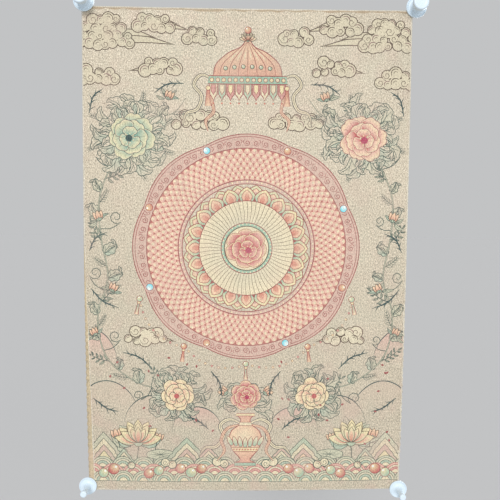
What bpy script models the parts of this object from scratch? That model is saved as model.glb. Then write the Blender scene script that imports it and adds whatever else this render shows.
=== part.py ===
"""Thangka cloth panel, pinned flat by four round magnetic holders.

Metres, +Z up. The picture faces -Y, and Y = 0 is the plane that the cloth hangs against.
The origin is the middle of the cloth's top edge, on that plane. The cloth hangs from
there down to Z = -DROP, touches the plane at its top edge and at its pinned corners,
and stands a few millimetres off it everywhere else.
"""

import math

import bmesh
import bpy

# ---------------------------------------------------------------- driving dimensions
MM = 0.001

WIDTH = 600 * MM  # the cloth, side to side
DROP = 904 * MM  # the cloth, top to bottom
THICK = 1.2 * MM  # brocade with its turned hem

# how far each edge strays from the straight line between its corners
LEFT_BOW = 2.5 * MM
RIGHT_BOW = 1.7 * MM
TOP_SAG = 0.9 * MM
BOTTOM_BOW = 1.9 * MM

# relief, measured forwards from the plane that the cloth hangs against
BILLOW = 4.0 * MM  # the slack middle of the cloth
BOTTOM_LIFT = 1.6 * MM  # the free stretch of the bottom edge
FOLDS = (
    # across (-1 to 1), drift down the cloth, height (mm), half width (mm)
    (-0.80, 0.10, 1.1, 42),
    (-0.34, -0.08, -0.9, 60),
    (0.12, 0.10, 0.8, 70),
    (0.52, -0.06, -0.8, 48),
    (0.84, -0.05, 1.2, 40),
)

# the corners are pressed flat against the plane inside this distance of a holder
FLAT_REACH = 52 * MM
FREE_REACH = 150 * MM

COLUMNS = 30
ROWS = 45

# holders: a broad foot, a waist and a grip to pull by
GAP = 0.3 * MM  # from the cloth's face to a holder's foot
TURN_STEPS = 32
FOOT_EDGE = 3.4 * MM  # height of a foot's rim

WIDE_FOOT_R = 19.0 * MM
WIDE_WAIST_R = 8.5 * MM
WIDE_GRIP_R = 14.0 * MM
WIDE_GRIP_LENGTH = 11.0 * MM
WIDE_HEIGHT = 31.0 * MM

SLIM_FOOT_R = 17.0 * MM
SLIM_WAIST_R = 4.0 * MM
SLIM_GRIP_R = 6.5 * MM
SLIM_GRIP_LENGTH = 8.0 * MM
SLIM_HEIGHT = 35.0 * MM

HOLDERS = (
    # name, across, up, kind
    ("holder_top_left", -295.5 * MM, 9.2 * MM, "wide"),
    ("holder_top_right", 306.0 * MM, 6.2 * MM, "wide"),
    ("holder_bottom_left", -302.0 * MM, -895.2 * MM, "slim"),
    ("holder_bottom_right", 298.5 * MM, -903.8 * MM, "slim"),
)


# ---------------------------------------------------------------- scene helpers
def clear_scene():
    for old in list(bpy.data.objects):
        bpy.data.objects.remove(old, do_unlink=True)


def make_collection(name):
    found = bpy.data.collections.new(name)
    bpy.context.scene.collection.children.link(found)
    return found


def make_material(name, colour, roughness):
    material = bpy.data.materials.new(name)
    material.use_nodes = True
    shader = material.node_tree.nodes["Principled BSDF"]
    shader.inputs["Base Color"].default_value = (*colour, 1)
    shader.inputs["Roughness"].default_value = roughness
    shader.inputs["Metallic"].default_value = 0.0
    return material


def smooth(value):
    """0 below 0, 1 above 1, and an even ease between."""
    t = min(max(value, 0.0), 1.0)
    return t * t * (3 - 2 * t)


# ---------------------------------------------------------------- the cloth
def outline_point(across, down):
    """Where a point of the flat cloth hangs: across is -1 to 1, down is 0 to 1."""
    side_bow = math.sin(math.pi * down**1.25)
    edge_bow = 1 - across * across
    x = across * WIDTH / 2
    x -= LEFT_BOW * side_bow * smooth(-across)
    x += RIGHT_BOW * side_bow * smooth(across)
    z = -down * DROP
    z += TOP_SAG * (1 - edge_bow) * (1 - down)
    z -= BOTTOM_BOW * edge_bow * down
    return x, z


def freedom(x, z):
    """0 where a holder presses the cloth flat, 1 where it hangs free."""
    free = 1.0
    for _, hold_x, hold_z, _ in HOLDERS:
        reach = math.hypot(x - hold_x, z - hold_z)
        free *= smooth((reach - FLAT_REACH) / (FREE_REACH - FLAT_REACH))
    return free


def stand_off(across, down):
    """How far the back of the cloth stands in front of the plane."""
    swell = BILLOW * math.sin(math.pi * down**0.9) * (1 - 0.55 * across * across)
    swell += BOTTOM_LIFT * smooth(down * 4 - 3)
    hang = smooth(down * 5) * (1 - 0.4 * down)
    for middle, drift, height, half_width in FOLDS:
        off = (across - middle - drift * down) * WIDTH / 2 / (half_width * MM)
        swell += height * MM * hang * math.exp(-off * off)
    return max(swell, 0.0)


def make_cloth(collection, material):
    bpy.ops.mesh.primitive_grid_add(
        x_subdivisions=COLUMNS, y_subdivisions=ROWS, size=2
    )
    cloth = bpy.context.object
    cloth.name = "cloth_panel"
    cloth.data.name = "cloth_panel"
    for vertex in cloth.data.vertices:
        across = vertex.co.x
        down = (1 - vertex.co.y) / 2
        x, z = outline_point(across, down)
        vertex.co = (x, -stand_off(across, down) * freedom(x, z), z)
    cloth.data.materials.append(material)
    cloth.data.shade_smooth()
    for owner in cloth.users_collection:
        owner.objects.unlink(cloth)
    collection.objects.link(cloth)

    thicken = cloth.modifiers.new("thickness", "SOLIDIFY")
    thicken.thickness = THICK
    thicken.offset = 1.0
    return cloth


# ---------------------------------------------------------------- the holders
def arc(middle, radius, start, end, steps):
    """Points of a round corner, as (r, height), from one angle in degrees to another."""
    points = []
    for step in range(steps + 1):
        angle = math.radians(start + (end - start) * step / steps)
        r = middle[0] + radius * math.cos(angle)
        height = middle[1] + radius * math.sin(angle)
        points.append((r, height))
    return points


def holder_profile(foot_r, waist_r, grip_r, grip_length, height):
    """Half the outline of a holder, from the tip down its outer side to the foot."""
    grip_round = 0.32 * grip_r
    rim_round = FOOT_EDGE / 2 - 0.2 * MM
    grip_end = height - grip_length
    crown = arc((grip_r - grip_round, height - grip_round), grip_round, 90, 0, 3)
    under = arc((grip_r - grip_round, grip_end + grip_round), grip_round, 0, -70, 2)
    neck_top = (waist_r + 0.4 * MM, grip_end - 1.0 * MM)
    neck_bottom = (waist_r, FOOT_EDGE + 6.0 * MM)
    flare = (waist_r + 1.6 * MM, FOOT_EDGE + 2.2 * MM)
    dish = (waist_r + 4.2 * MM, FOOT_EDGE + 0.1 * MM)
    hollow = (foot_r - 3.4 * MM, FOOT_EDGE - 0.5 * MM)
    rim = arc((foot_r - rim_round, FOOT_EDGE - rim_round), rim_round, 100, -10, 3)
    heel = (foot_r - 0.5 * MM, 0.0)
    return [
        (0.0, height),
        *crown,
        *under,
        neck_top,
        neck_bottom,
        flare,
        dish,
        hollow,
        *rim,
        heel,
        (0.0, 0.0),
    ]


def turned_mesh(name, profile):
    """A mesh of one open line, for Screw to turn about local Z."""
    line = bmesh.new()
    points = [line.verts.new((r, 0, height)) for r, height in profile]
    for upper, lower in zip(points, points[1:]):
        line.edges.new((upper, lower))
    mesh = bpy.data.meshes.new(name)
    line.to_mesh(mesh)
    line.free()
    return mesh


def make_holder(collection, material, name, across, up, mesh):
    holder = bpy.data.objects.new(name, mesh)
    collection.objects.link(holder)
    if not mesh.materials:
        mesh.materials.append(material)
    holder.location = (across, -(THICK + GAP), up)
    holder.rotation_euler = (math.radians(90), 0, 0)

    turn = holder.modifiers.new("turned", "SCREW")
    turn.axis = "Z"
    turn.angle = math.tau
    turn.steps = TURN_STEPS
    turn.render_steps = TURN_STEPS
    turn.use_merge_vertices = True
    turn.merge_threshold = 0.00005
    return holder


# ---------------------------------------------------------------- the whole part
def main():
    clear_scene()
    parts = make_collection("thangka_panel")
    brocade = make_material("brocade", (0.56, 0.44, 0.27), 0.62)
    plastic = make_material("holder_plastic", (0.83, 0.86, 0.87), 0.32)

    make_cloth(parts, brocade)
    shapes = {
        "wide": turned_mesh(
            "wide_holder",
            holder_profile(
                WIDE_FOOT_R, WIDE_WAIST_R, WIDE_GRIP_R, WIDE_GRIP_LENGTH, WIDE_HEIGHT
            ),
        ),
        "slim": turned_mesh(
            "slim_holder",
            holder_profile(
                SLIM_FOOT_R, SLIM_WAIST_R, SLIM_GRIP_R, SLIM_GRIP_LENGTH, SLIM_HEIGHT
            ),
        ),
    }
    for name, across, up, kind in HOLDERS:
        make_holder(parts, plastic, name, across, up, shapes[kind])


main()
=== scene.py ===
import math
import random

import bpy
import numpy as np
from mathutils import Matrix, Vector
from mathutils.geometry import delaunay_2d_cdt


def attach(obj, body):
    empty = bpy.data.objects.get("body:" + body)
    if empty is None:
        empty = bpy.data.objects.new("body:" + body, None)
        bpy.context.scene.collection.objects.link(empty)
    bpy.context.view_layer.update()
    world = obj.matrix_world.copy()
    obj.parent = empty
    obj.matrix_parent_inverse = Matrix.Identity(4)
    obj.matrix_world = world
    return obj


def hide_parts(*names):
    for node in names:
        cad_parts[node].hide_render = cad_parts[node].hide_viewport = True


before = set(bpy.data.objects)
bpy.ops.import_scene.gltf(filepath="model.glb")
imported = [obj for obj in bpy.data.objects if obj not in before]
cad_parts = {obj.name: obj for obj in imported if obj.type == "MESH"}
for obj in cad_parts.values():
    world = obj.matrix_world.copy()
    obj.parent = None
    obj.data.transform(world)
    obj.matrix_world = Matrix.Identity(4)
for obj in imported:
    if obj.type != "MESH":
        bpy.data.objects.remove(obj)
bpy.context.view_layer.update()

MM = 0.001

# -------------------- sizes, as in the solids
WIDTH = 600 * MM
DROP = 904 * MM
THICK = 1.2 * MM

LEFT_BOW = 2.5 * MM
RIGHT_BOW = 1.7 * MM
TOP_SAG = 0.9 * MM
BOTTOM_BOW = 1.9 * MM
BILLOW = 4.0 * MM
BOTTOM_LIFT = 1.6 * MM
FOLDS = (
    # across (-1 to 1), drift down the cloth, height (mm), half width (mm)
    (-0.80, 0.10, 1.1, 42),
    (-0.34, -0.08, -0.9, 60),
    (0.12, 0.10, 0.8, 70),
    (0.52, -0.06, -0.8, 48),
    (0.84, -0.05, 1.2, 40),
)
FLAT_REACH = 52 * MM  # the cloth is pressed flat this far from a holder's middle
FREE_REACH = 150 * MM  # and hangs free from here on

GAP = 0.3 * MM  # from the cloth's face to a holder's foot
HOLDERS = {
    # node: across, up, kind
    "holder_top_left": (-295.5 * MM, 9.2 * MM, "wide"),
    "holder_top_right": (306.0 * MM, 6.2 * MM, "wide"),
    "holder_bottom_left": (-302.0 * MM, -895.2 * MM, "slim"),
    "holder_bottom_right": (298.5 * MM, -903.8 * MM, "slim"),
}

# -------------------- sizes that only show here
HEM = 14  # mm, turned to the back all round
HEM_STEP = 0.8  # mm, over which the back steps down from the hem to the single cloth
FIELD_THICK = 0.7 * MM  # the single cloth inside the hem
EDGE_RIPPLE = 0.8 * MM  # small waves along the lower side edges
RIPPLE_PITCH = 13 * MM
RIPPLE_START = (0.45, 0.75)  # down the cloth, 0 to 1: they grow between these
RIPPLE_END = (0.925, 0.965)  # and die away between these
RIPPLE_REACH = 0.93  # across the cloth, where they start, 1 being its edge
PUCKER = 0.35 * MM  # short creases that run out from under a holder
PUCKER_COUNT = 13  # all round a holder
PUCKER_START = (22 * MM, 52 * MM)  # from its middle: they grow between these
PUCKER_END = (70 * MM, 160 * MM)  # and die away between these
MEDALLION_UP = 18  # mm, from the middle of the cloth to the middle of the medallion

RIM_PITCH = 3  # mm between points of the mesh, along the rim of the cloth
SECOND_ROW = 5  # mm from the rim to the next row of points
INNER_PITCH = 12  # between the drawn lines
BACK_PITCH = 14  # along the inner edge of the hem
BACK_COLUMNS, BACK_ROWS = 36, 54  # points of the single cloth inside the hem
BACK_GAP = 8  # mm from the hem to those points
JOINED = 0.001  # mm, points closer than this become one
HOLDER_SIDES = 48

# -------------------- the camera and the studio
SENSOR = 36.0
LENS = 38.9
CAMERA_PLACE = (-0.0147, -1.0104, -0.3594)
CAMERA_TURN = (85.53, -0.42, -1.17)  # degrees

FLOOR_UP = -2.00
FLOOR_SIZE = 60
FLOOR_PAINT = (0.642, 0.644, 0.647)
AIR = (0.78, 0.79, 0.80)
AIR_STRENGTH = 0.69
LAMPS = (
    # name, where it stands, how wide it looks in degrees, strength, colour
    ("key", (-1.0, -7.2, 3.6), 16, 1.46, (1.0, 0.99, 0.98)),
    ("fill", (3.0, -6.2, 0.9), 40, 0.68, (0.95, 0.97, 1.0)),
    ("back", (2.6, 6.2, 1.0), 30, 1.35, (0.97, 0.98, 1.0)),
)

# -------------------- inks, as seen (0 to 255)
INKS = {
    "ground": (204, 192, 170),
    "brown": (90, 73, 62),
    "cream": (231, 217, 184),
    "butter": (236, 219, 174),
    "coral": (206, 134, 115),
    "salmon": (220, 172, 149),
    "peach": (238, 206, 173),
    "wine": (156, 84, 82),
    "rose": (212, 160, 149),
    "blush": (212, 181, 165),
    "mint": (162, 191, 167),
    "sage": (186, 198, 172),
    "leaf_line": (80, 95, 88),
    "leaf": (205, 202, 176),
    "straw": (216, 212, 172),
    "teal": (56, 80, 80),
    "navy": (44, 50, 68),
    "magenta": (176, 64, 94),
    "turquoise": (110, 222, 234),
    "white": (246, 247, 240),
    "tan": (190, 170, 142),
    "ground_low": (204, 188, 167),
    "strip": (206, 188, 154),
    "edge": (224, 217, 200),
    "mauve": (134, 101, 100),
    "haze": (221, 210, 182),
    "moss": (184, 195, 173),
    "pink": (206, 138, 132),
    "scale_line": (186, 116, 107),
    "ruby": (192, 100, 98),
    "jade": (134, 168, 150),
    "shell": (224, 180, 164),
    "petal_line": (172, 102, 100),
    "back": (190, 176, 150),
}


def linear(name):
    """An ink as scene-linear red, green and blue."""
    seen = np.array(INKS[name]) / 255
    return np.where(seen <= 0.04045, seen / 12.92, ((seen + 0.055) / 1.055) ** 2.4)


# -------------------- points and lines
def arc(radius, start, end, steps, middle=(0, 0)):
    """Points of an arc in degrees, anticlockwise from +X."""
    angle = np.radians(np.linspace(start, end, steps + 1))
    return np.stack([middle[0] + radius * np.cos(angle), middle[1] + radius * np.sin(angle)], 1)


def circle(radius, count, middle=(0, 0)):
    """Evenly spaced points round a circle."""
    return arc(radius, 0, 360 - 360 / count, count - 1, middle)


def polar(radius, angle):
    """The point at a distance and an angle in degrees from the origin."""
    return arc(radius, angle, angle, 0)[0]


def spline(points, pieces, closed=False):
    """A smooth line through the points."""
    p = np.array(points, float)
    if closed:
        p = np.concatenate([p[-1:], p, p[:2]])
    else:
        p = np.concatenate([2 * p[:1] - p[1:2], p, 2 * p[-1:] - p[-2:-1]])
    t = np.linspace(0, 1, pieces, endpoint=False)[:, None]
    runs = []
    for a, b, c, d in zip(p, p[1:], p[2:], p[3:]):
        bend = 2 * a - 5 * b + 4 * c - d
        runs.append(b + t * (c - a) / 2 + t**2 * bend / 2 + t**3 * (3 * b - 3 * c + d - a) / 2)
    line = np.concatenate(runs)
    return line if closed else np.concatenate([line, p[-2:-1]])


def curl(turns, radius, tight, pieces):
    """A spiral that starts at the origin's right and winds in to its middle."""
    steps = int(turns * pieces)
    t = np.linspace(0, 1, steps + 1)
    r = radius * (1 - (1 - tight) * t)
    angle = -math.tau * turns * t
    return np.stack([r * np.cos(angle), r * np.sin(angle)], 1)


def sideways(points, closed=False):
    """The unit normals of a line, to its left."""
    if closed:
        along = np.roll(points, -1, 0) - np.roll(points, 1, 0)
    else:
        along = np.gradient(points, axis=0)
    along /= np.maximum(np.linalg.norm(along, axis=1), 1e-9)[:, None]
    return np.stack([-along[:, 1], along[:, 0]], 1)


def inset(points, depth):
    """A closed outline moved inwards."""
    turning = np.sum(
        points[:, 0] * np.roll(points[:, 1], -1) - points[:, 1] * np.roll(points[:, 0], -1)
    )
    return points + sideways(points, True) * depth * np.sign(turning)


class Pen:
    """Draws on the flat cloth in millimetres from its middle, through a place, size and turn."""

    def __init__(self, shapes, matrix=np.eye(3)):
        self.shapes = shapes
        self.matrix = matrix
        self.size = math.sqrt(abs(np.linalg.det(matrix[:2, :2])))

    def at(self, x, y, size=1.0, turn=0.0, flip=False):
        c, s = math.cos(math.radians(turn)), math.sin(math.radians(turn))
        across = -size if flip else size
        here = np.array([[c * across, -s * size, x], [s * across, c * size, y], [0, 0, 1]])
        return Pen(self.shapes, self.matrix @ here)

    def turned(self, turn):
        return self.at(0, 0, 1, turn)

    def halves(self):
        """This pen and its mirror image."""
        return self, self.at(0, 0, 1, 0, True)

    def placed(self, points):
        return np.asarray(points, float) @ self.matrix[:2, :2].T + self.matrix[:2, 2]

    def fill(self, points, *inks, fade=None, centre=None, reach=1.0):
        """A filled outline. Inks fade between two heights or points, or out from a centre."""
        shape = {"loops": [self.placed(points)], "inks": inks}
        if centre is not None:
            shape["centre"] = self.placed([centre])[0]
            shape["reach"] = reach * self.size
        elif fade is not None:
            ends = [spot if np.ndim(spot) else (0, spot) for spot in fade]
            shape["start"], shape["end"] = self.placed(ends)
        self.shapes.append(shape)

    def line(self, points, width, ink, ends=(0.35, 0.35)):
        """A line of a width in millimetres, thinner at its ends."""
        middle = self.placed(points)
        share = np.linspace(0, 1, len(middle))
        first, last = (end + (1 - end) * s * 4 for end, s in zip(ends, (share, 1 - share)))
        half = (width / 2 * np.clip(np.minimum(first, last), 0, 1))[:, None] * sideways(middle)
        loop = np.concatenate([middle + half, (middle - half)[::-1]])
        self.shapes.append({"loops": [loop], "inks": (ink,)})

    def outline(self, points, width, ink):
        """A closed line."""
        middle = self.placed(points)
        half = sideways(middle, True) * width / 2
        self.shapes.append({"loops": [middle + half, middle - half], "inks": (ink,)})

    def cell(self, points, width, line, *inks, **shading):
        """A filled outline with a line around it."""
        self.fill(points, line)
        self.fill(inset(np.asarray(points, float), width / self.size), *inks, **shading)


# -------------------- motifs
LINE = 1.55  # the usual width of a drawn line, in mm
FINE = 1.1
LEAF_LINE = 1.3
HAIR = 0.6

# a blossom's inks from its root to its rim, its heart and its line
PINK_BLOOM = (("ruby", "shell", "peach", "cream"), "magenta", "petal_line")
DEEP_BLOOM = (("ruby", "pink", "shell", "butter"), "magenta", "petal_line")
GREEN_BLOOM = (("jade", "sage", "straw", "cream"), "teal", "leaf_line")
YELLOW_BLOOM = (("salmon", "peach", "butter", "cream"), "ruby", "brown")


class Stem:
    """A smooth line that knows its place and heading at any distance along it."""

    def __init__(self, route, pieces=5):
        self.points = spline(route, pieces)
        steps = np.linalg.norm(np.diff(self.points, axis=0), axis=1)
        self.run = np.concatenate([[0], np.cumsum(steps)])
        self.length = self.run[-1]

    def spot(self, distance):
        return np.array([np.interp(distance, self.run, self.points[:, k]) for k in (0, 1)])

    def at(self, distance):
        """A place for Pen.at: x, y, its usual size, and the turn that heads along the stem."""
        way = self.spot(distance + 1) - self.spot(distance - 1)
        return (*self.spot(distance), 1, math.degrees(math.atan2(way[1], way[0])) - 90)


def petal_shape(length, width, point, steps, root=0.25):
    """A petal from its root at the origin to its tip up the Y axis."""
    t = np.linspace(0, 1, steps + 1)
    half = width / 2 * np.sin(math.pi * t**point) ** 0.72
    half = np.maximum(half, width / 2 * root * (1 - t))
    half[-1] = 0
    left = np.stack([-half, t * length], 1)
    right = np.stack([half, t * length], 1)[-2::-1]
    return np.concatenate([left, right])


def round_petal(length, width, steps):
    """A broad petal with a shallow notch in its round end."""
    angle = np.radians(np.linspace(-110, 110, steps + 1))
    dent = 0.06
    r = 1 - dent * np.cos(angle * 3) ** 2 - dent * 1.6 * (np.abs(angle) < 0.12)
    x = np.sin(angle) * width / 2 * r
    y = length * (0.52 + 0.48 * np.cos(angle) * r)
    return np.concatenate([[[0, 0]], np.stack([x, y], 1)])


def leaf(pen, length, width, fill, bend):
    """A pointed leaf, bent to one side, with a midrib."""
    shape = petal_shape(length, width, 0.8, 4, 0.1)
    shape[:, 0] += bend * length * np.sin(math.pi * shape[:, 1] / length)
    pen.cell(shape, FINE, "leaf_line", fill)
    share = np.array([0, 0.3, 0.6, 0.85])
    rib = np.stack([bend * length * np.sin(math.pi * share), share * length], 1)
    pen.line(rib, FINE * 0.8, "leaf_line")


def scroll_leaf(pen, length, side, fill):
    """An acanthus leaf: its rib curls over at the tip, with scallops down the outer side."""
    share = np.linspace(0, 1, 17)
    lean = side * (2.1 * share**1.7 - 0.35)
    ahead = np.stack([np.sin(lean), np.cos(lean)], 1)
    rib = np.concatenate([[[0, 0]], np.cumsum(ahead[:-1], 0)]) * length / 16
    out = np.stack([-ahead[:, 1], ahead[:, 0]], 1) * side
    swell = np.sin(math.pi * share**0.8) ** 0.8 + 0.12 * (1 - share)
    lobes = 0.7 + 0.3 * np.abs(np.sin(4 * math.pi * share))
    outer = rib + out * (swell * lobes * length * 0.26)[:, None]
    inner = rib - out * (swell * length * 0.12)[:, None]
    outline = np.concatenate([outer, inner[-3:0:-3]])
    pen.cell(outline, LEAF_LINE, "leaf_line", fill, "ground", fade=(0, rib[-1]))
    pen.line(rib[:15:2], FINE, "leaf_line", (1.0, 0.3))
    for k in (6, 10, 14):
        pen.line([rib[k - 3], 0.35 * rib[k] + 0.65 * outer[k]], FINE, "leaf_line", (0.9, 0.5))


def frond(pen, length, blades, bend):
    """A feathery leaf: a bent rib with short strokes on both sides."""
    rib = [(bend * length * t * t, length * t) for t in np.linspace(0, 1, 6)]
    stem = Stem(rib, 1)
    pen.line(stem.points, FINE, "leaf_line", (1.0, 0.3))
    for n in range(blades):
        base = pen.at(*stem.at(stem.length * (0.1 + 0.8 * n / blades)))
        long = length * 0.36 * (1 - 0.55 * n / blades)
        for side in (-1, 1):
            stroke = [(0, 0), (side * long * 0.42, long * 0.42), (side * long * 0.55, long)]
            base.line(stroke, FINE * 0.8, "leaf_line", (1.0, 0.1))


def thicket(pen, inner, outer, count, rng, start, sweep):
    """Plain leaves that crowd out from one place, the longest at the back."""
    for n in range(count):
        turn = start + sweep * ((n * 0.618) % 1)
        long = (outer - inner) * (1 - 0.45 * n / count) * rng.uniform(0.85, 1.1)
        base = pen.turned(turn).at(0, inner, 1, rng.uniform(-16, 16))
        fill = ("leaf", "ground", "leaf", "moss", "ground")[n % 5]
        leaf(base, long, long * rng.uniform(0.3, 0.42), fill, rng.uniform(-0.22, 0.22))


def leafage(pen, inner, size, count, rng, start=0, sweep=360):
    """Scrolling leaves that crowd out from behind a flower, the longest at the back."""
    for n in range(count):
        turn = start + sweep * ((n * 0.618) % 1)
        base = pen.turned(turn).at(0, inner, 1, rng.uniform(-24, 24))
        long = size * (1 - 0.35 * n / count) * rng.uniform(0.9, 1.1)
        scroll_leaf(base, long, (1, -1)[n % 2], ("leaf", "moss", "ground")[n % 3])


def knoll(pen, width, height, fill):
    """A rounded hill: a dark line over its crown and a wash that fades towards its foot."""
    share = np.linspace(-1, 1, 17)
    crown = np.stack([share * width / 2, height * (1 - share**2) ** 0.6], 1)
    pen.fill(crown, "ground", fill, "ground", fade=(0, height * 1.7))
    pen.line(crown, LINE * 1.2, "teal", (0.15, 0.15))


def spray(pen, route, size, rng):
    """A stem with leaves on alternate sides and one at its tip."""
    stem = Stem(route)
    pen.line(stem.points, LINE, "leaf_line", (1.0, 0.4))
    distance, side = size * 0.35, 1
    while distance < stem.length:
        long = size * (1 - 0.35 * distance / stem.length) * rng.uniform(0.85, 1.15)
        base = pen.at(*stem.at(distance)).turned(side * rng.uniform(38, 62))
        leaf(base, long, long * 0.36, "leaf", -0.1 * side)
        distance += size * 0.31
        side = -side
    leaf(pen.at(*stem.at(stem.length)), size * 0.7, size * 0.26, "leaf", 0.03)


def tendril(pen, size):
    """A thin stem that rises and rolls up."""
    roll = curl(1.4, size * 0.36, 0.2, 8) + (size * 0.1, size)
    rise = spline([(0, 0), (size * 0.34, size * 0.42), roll[0]], 3)
    pen.line(np.concatenate([rise, roll[1:]]), LINE, "leaf_line", (1.0, 0.5))


def peony(pen, radius, bloom, rng):
    """A full blossom: broad cupped petals, deep at their roots and pale at their rims."""
    inks, heart, line = bloom
    steps = 14 if radius > 40 else 9
    for share, count, lead in ((1.0, 7, 8), (0.72, 5, 30), (0.46, 3, 10)):
        ring = pen.at(radius * 0.1 * (1 - share), radius * 0.12 * (share - 1))
        for n in range(count):
            turned = ring.turned(lead + 360 * n / count + rng.uniform(-8, 8))
            long = radius * share * rng.uniform(0.92, 1.06)
            wide = 6.2 * radius * share / count
            deep = long * (0.04 + 0.48 * share)
            shape = round_petal(long, min(wide, long * 1.3), steps)
            turned.cell(shape, FINE, line, inks[-1])
            turned.fill(inset(shape, FINE * 1.9), *inks, fade=(deep, long))
            for off in (-0.2 * wide, 0.22 * wide):
                vein = [(off * 0.5, long * 0.5), (off * 0.8, long * 0.7), (off, long * 0.86)]
                turned.line(vein, HAIR, line, (0.4, 0.1))
    middle = pen.at(radius * 0.08, -radius * 0.09)
    middle.fill(circle(radius * 0.14, 12), heart)
    for n in range(7):
        middle.fill(circle(radius * 0.028, 6, polar(radius * 0.19, n * 51)), "butter")


def lotus(pen, radius, rim="sage", tip="butter"):
    """An open lotus seen from the side, its petals fanned up from the seat."""
    for share, spread, count in ((1.0, 78, 7), (0.86, 58, 5), (0.66, 26, 3)):
        for n in sorted(range(count), key=lambda k: -abs(k - (count - 1) / 2)):
            long = radius * share
            petal = pen.turned(-spread + 2 * spread * n / (count - 1))
            outer = petal_shape(long, long * 0.46, 0.9, 6, 0.3)
            inner = petal_shape(long * 0.74, long * 0.27, 0.9, 5, 0.3)
            petal.cell(outer, FINE, "brown", rim, tip, fade=(0, long * 0.9))
            petal.at(0, long * 0.05).fill(inner, "coral", "peach", fade=(0, long * 0.7))
    pen.cell(arc(radius * 0.2, 180, 360, 8), FINE, "brown", "sage")


def bud(pen, size):
    """A closed flower on its green cup."""
    petal = petal_shape(size, size * 0.5, 0.85, 5, 0.3)
    sepal = petal_shape(size * 0.4, size * 0.22, 0.8, 4)
    for turn in (-24, 24, 0):
        pen.turned(turn).cell(petal, FINE, "brown", "coral", "peach", fade=(0, size * 0.8))
    for turn in (-42, 42, 0):
        pen.turned(turn).cell(sepal, FINE, "leaf_line", "sage")


def lily_pad(pen, width, fill="sage"):
    """A round floating leaf seen at a slant, with veins from its middle."""
    slant = (width / 2, width * 0.19)
    wavy = [[1 + 0.06 * (n % 2)] for n in range(12)]
    rim = spline(circle(1, 12) * slant * wavy, 2, True)
    pen.cell(rim, FINE, "leaf_line", fill, "leaf", fade=(-width * 0.2, width * 0.2))
    for n in range(9):
        end = polar(0.82, 40 * n) * slant
        pen.line([(0, 0), end * 0.5, end], FINE * 0.7, "leaf_line", (1.0, 0.3))


def cloud(pen, lobes, fill="haze", ink="brown"):
    """A bank of curled cloud: each lobe is x, y, radius and the way that its curl winds."""
    foot = min(y - radius for _, y, radius, _ in lobes)
    crown = max(y + radius for _, y, radius, _ in lobes)
    fade = (crown, foot - 0.4 * (crown - foot))
    for x, y, radius, _ in lobes:
        pen.fill(arc(radius, 0, 336, 14, (x, y)), ink)
    for x, y, radius, _ in lobes:
        pen.fill(arc(radius - LINE, 0, 330, 12, (x, y)), fill, fill, "ground", fade=fade)
    for n, (x, y, radius, way) in enumerate(lobes):
        rolled = pen.at(x, y, 1, 0, way < 0)
        if n % 3 == 0:
            rolled.line(curl(1.25, radius * 0.7, 0.15, 7), FINE, ink, (0.6, 0.5))
        else:
            rolled.line(arc(radius * 0.64, -25, 135, 5), LINE, ("mauve", ink)[n % 2], (0.5, 0.3))
            rolled.line(arc(radius * 0.3, -10, 150, 3), FINE, ink, (0.5, 0.3))


def cloud_bank(pen, width, height, rng):
    """A heap of curled cloud, wide at its foot, the lower rows in front."""
    lobes = []
    rows = max(2, round(height / 14))
    for row in range(rows - 1, -1, -1):
        half = width / 2 * (1 - 0.85 * (row / rows) ** 1.5)
        count = max(1, round(2 * half / 16))
        for n in range(count + 1):
            x = half * (2 * n / max(count, 1) - 1) + rng.uniform(-3, 3)
            y = height * row / rows + rng.uniform(-3, 3)
            lobes.append((x, y, rng.uniform(8, 13.5), 1 if x > 0 else -1))
    cloud(pen, lobes)


def cloud_tail(pen, length, height):
    """The long tail that streams out behind a cloud, in two strands."""
    for low, high, reach in ((0, 0.55, 1.0), (0.5, 1.0, 0.7)):
        size = np.array([length * reach, height])
        upper = spline(size * [(0, high), (0.5, high + 0.12), (1, low)], 4)
        lower = spline(size * [(1, low), (0.5, low + 0.1), (0, low)], 4)
        pen.cell(np.concatenate([upper, lower[1:-1]]), LINE, "brown", "haze")


def jewel(pen, radius, deep, light, ink="brown"):
    """A round jewel with a spot of light on its upper side."""
    rim = arc(radius, 0, 345, 15)
    pen.cell(rim, FINE, ink, light, deep, centre=(-0.3 * radius, 0.35 * radius), reach=1.25 * radius)
    pen.fill(circle(radius * 0.22, 6, (-0.36 * radius, 0.4 * radius)), "white")


def ribbon(pen, route, width, fill="cream", line="navy"):
    """A flat ribbon with a line on both edges and a fold line down its middle."""
    points = spline(route, 5)
    pen.line(points, width, line, (0.5, 0.2))
    pen.line(points, width - 2 * FINE, fill, (0.4, 0.05))
    pen.line(points[2:-2], FINE * 0.7, line, (0.2, 0.2))


def tassel(pen, length, ink="coral"):
    """A bead with threads that hang from it."""
    skirt = np.array([(-0.1, 0), (0.1, 0), (0.2, -1), (-0.2, -1)]) * length
    pen.cell(skirt, FINE, "wine", ink, "peach", fade=(0, -length))
    for off in (-0.07, 0.07):
        thread = np.array([(off * 0.6, -0.1), (off, -0.5), (off * 1.5, -0.95)]) * length
        pen.line(thread, HAIR, "wine")
    pen.cell(circle(length * 0.16, 10, (0, length * 0.08)), FINE, "wine", "butter")


def band(pen, foot, head, ink, width=FINE):
    """A level band: the half width and the height of its one edge, and of the other."""
    (foot_x, foot_y), (head_x, head_y) = foot, head
    shape = [(-foot_x, foot_y), (foot_x, foot_y), (head_x, head_y), (-head_x, head_y)]
    pen.cell(shape, width, "wine", ink)


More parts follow.
